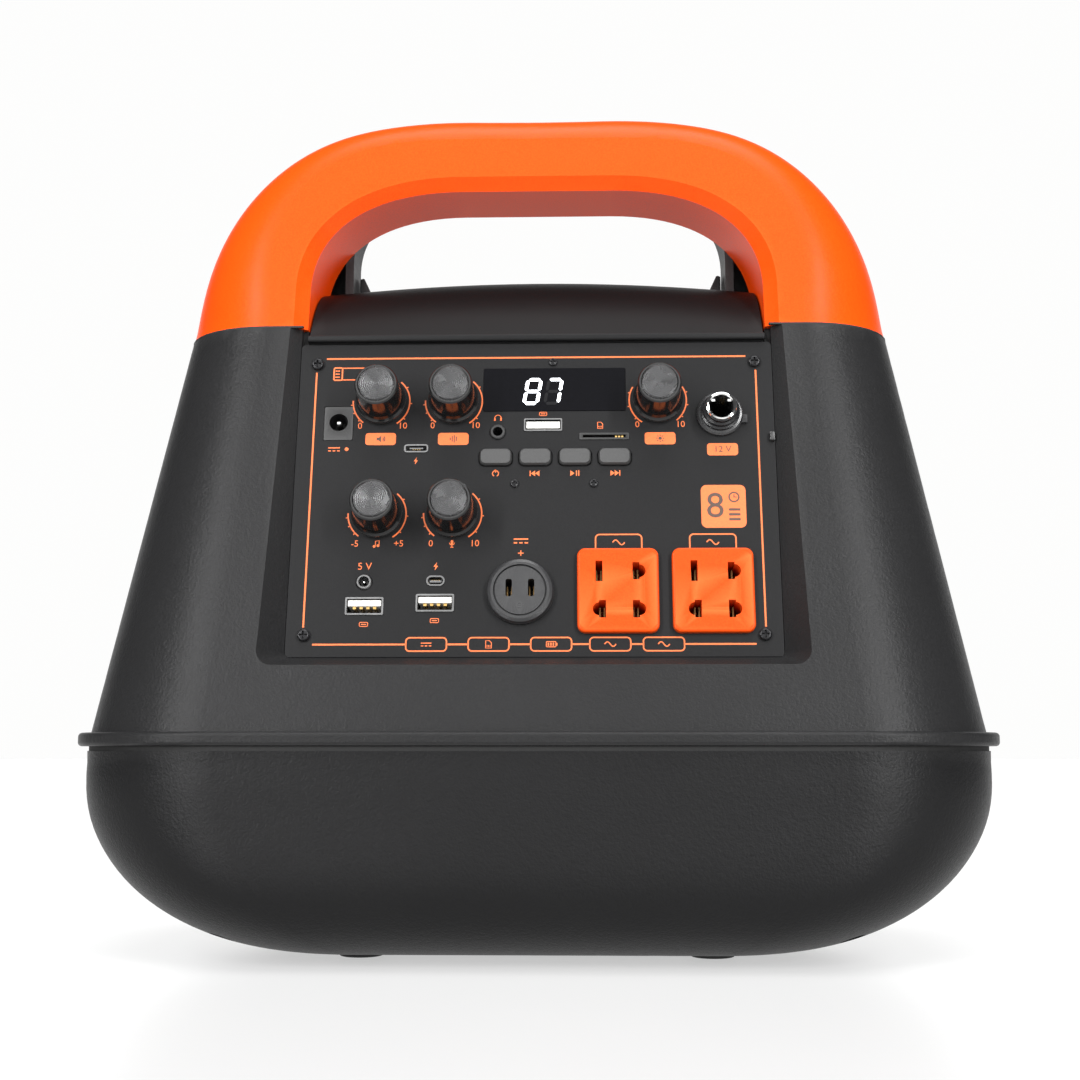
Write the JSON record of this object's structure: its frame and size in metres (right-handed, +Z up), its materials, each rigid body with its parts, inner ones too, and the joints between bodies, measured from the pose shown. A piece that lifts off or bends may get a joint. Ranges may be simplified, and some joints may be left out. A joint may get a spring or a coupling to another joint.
{
  "type": "portable power station",
  "caption": "Portable power station with an arched carrying handle, a sloping control panel with knobs, keys and outlets, and a rounded tub base.",
  "frame": {"origin": "on the ground under the middle of the base", "axes": "+Z up, +X to the right seen from the panel side, the panel faces -Y"},
  "size_m": [0.326, 0.1488, 0.3126],
  "materials": {
    "shell_black": "fine sand grain",
    "tub_black": "fine sand grain",
    "deck_black": "satin moulded",
    "rear_cover_black": "fine sand grain",
    "handle_orange": "satin moulded",
    "seal_rubber": "matt",
    "foot_rubber": "matt",
    "panel_grey": "smooth satin",
    "screw_black": "black oxide",
    "screw_steel": "zinc plated",
    "display_gloss": "smoked gloss",
    "module_black": "matt",
    "port_black": "satin",
    "port_steel": "nickel plated",
    "jack_black": "satin",
    "socket_black": "satin",
    "ring_chrome": "polished",
    "outlet_black": "satin",
    "outlet_orange": "satin",
    "pot_metal": "plated",
    "board_green": "solder mask",
    "battery_wrap": "shrink film over cells",
    "bracket_steel": "zinc plated",
    "heatsink_aluminium": "extruded",
    "transformer_iron": "varnished laminations",
    "fan_black": "satin",
    "speaker_metal": "painted basket",
    "grille_black": "powder coated",
    "wire_insulation": "pvc insulation",
    "knob_black": "satin",
    "cap_aluminium": "spun, dark anodised",
    "shaft_brass": "turned",
    "button_black": "satin silicone"
  },
  "bodies": {
    "housing": {"ac_outlet_left": "outlet_orange", "ac_outlet_right": "outlet_orange", "aux_jack": "jack_black", "battery_board": "board_green", "battery_bracket": "bracket_steel", "battery_pack": "battery_wrap", "board_screws": "screw_black", "card_slot": "port_black", "case_screws": "screw_steel", "control_board": "board_green", "control_panel": "panel_grey", "dc12_socket_body": "socket_black", "dc12_socket_ring": "ring_chrome", "dc5_jack": "port_steel", "dc_in_socket": "port_black", "display_module": "module_black", "display_window": "display_gloss", "fan_frame": "fan_black", "flange_seal": "seal_rubber", "handle_front": "handle_orange", "handle_rear_cover": "rear_cover_black", "heatsink": "heatsink_aluminium", "inverter_board": "board_green", "lower_tub": "tub_black", "media_usb_port": "port_steel", "micro_usb_port": "port_steel", "panel_screws": "screw_black", "potentiometers": "pot_metal", "round_outlet": "outlet_black", "rubber_feet": "foot_rubber", "speaker_driver": "speaker_metal", "speaker_grille": "grille_black", "top_deck": "deck_black", "transformer": "transformer_iron", "type_c_port": "port_steel", "upper_shell": "shell_black", "usb_a_port_left": "port_steel", "usb_a_port_right": "port_steel", "wiring_harness": "wire_insulation"},
    "volume_control": {"knob_volume": "knob_black", "knob_cap_volume": "cap_aluminium", "knob_shaft_volume": "shaft_brass"},
    "bass_control": {"knob_bass": "knob_black", "knob_cap_bass": "cap_aluminium", "knob_shaft_bass": "shaft_brass"},
    "light_control": {"knob_light": "knob_black", "knob_cap_light": "cap_aluminium", "knob_shaft_light": "shaft_brass"},
    "treble_control": {"knob_treble": "knob_black", "knob_cap_treble": "cap_aluminium", "knob_shaft_treble": "shaft_brass"},
    "mic_control": {"knob_mic": "knob_black", "knob_cap_mic": "cap_aluminium", "knob_shaft_mic": "shaft_brass"},
    "mode_key": {"button_mode": "button_black"},
    "previous_key": {"button_previous": "button_black"},
    "play_key": {"button_play": "button_black"},
    "next_key": {"button_next": "button_black"},
    "fan_wheel": {"fan_rotor": "fan_black"}
  },
  "joints": [
    {"name": "volume_turn", "type": "hinge", "parent": "housing", "child": "volume_control", "pos_m": [-0.0551, -0.03796, 0.19584], "axis": [0, -0.9835, 0.181], "range_deg": [-145, 145]},
    {"name": "bass_turn", "type": "hinge", "parent": "housing", "child": "bass_control", "pos_m": [-0.0291, -0.03796, 0.19584], "axis": [0, -0.9835, 0.181], "range_deg": [-145, 145]},
    {"name": "light_turn", "type": "hinge", "parent": "housing", "child": "light_control", "pos_m": [0.0438, -0.03796, 0.19584], "axis": [0, -0.9835, 0.181], "range_deg": [-145, 145]},
    {"name": "treble_turn", "type": "hinge", "parent": "housing", "child": "treble_control", "pos_m": [-0.0551, -0.04569, 0.15385], "axis": [0, -0.9835, 0.181], "range_deg": [-145, 145]},
    {"name": "mic_turn", "type": "hinge", "parent": "housing", "child": "mic_control", "pos_m": [-0.0286, -0.04569, 0.15385], "axis": [0, -0.9835, 0.181], "range_deg": [-145, 145]},
    {"name": "mode_press", "type": "slide", "parent": "housing", "child": "mode_key", "axis": [0, 0.9835, -0.181], "range_m": [0, 0.001], "stiffness_N_per_m": 400, "springref_m": -0.0015},
    {"name": "previous_press", "type": "slide", "parent": "housing", "child": "previous_key", "axis": [0, 0.9835, -0.181], "range_m": [0, 0.001], "stiffness_N_per_m": 400, "springref_m": -0.0015},
    {"name": "play_press", "type": "slide", "parent": "housing", "child": "play_key", "axis": [0, 0.9835, -0.181], "range_m": [0, 0.001], "stiffness_N_per_m": 400, "springref_m": -0.0015},
    {"name": "next_press", "type": "slide", "parent": "housing", "child": "next_key", "axis": [0, 0.9835, -0.181], "range_m": [0, 0.001], "stiffness_N_per_m": 400, "springref_m": -0.0015},
    {"name": "fan_spin", "type": "hinge", "parent": "housing", "child": "fan_wheel", "pos_m": [0.1275, 0, 0.112], "axis": [1, 0, 0], "continuous": true}
  ]
}
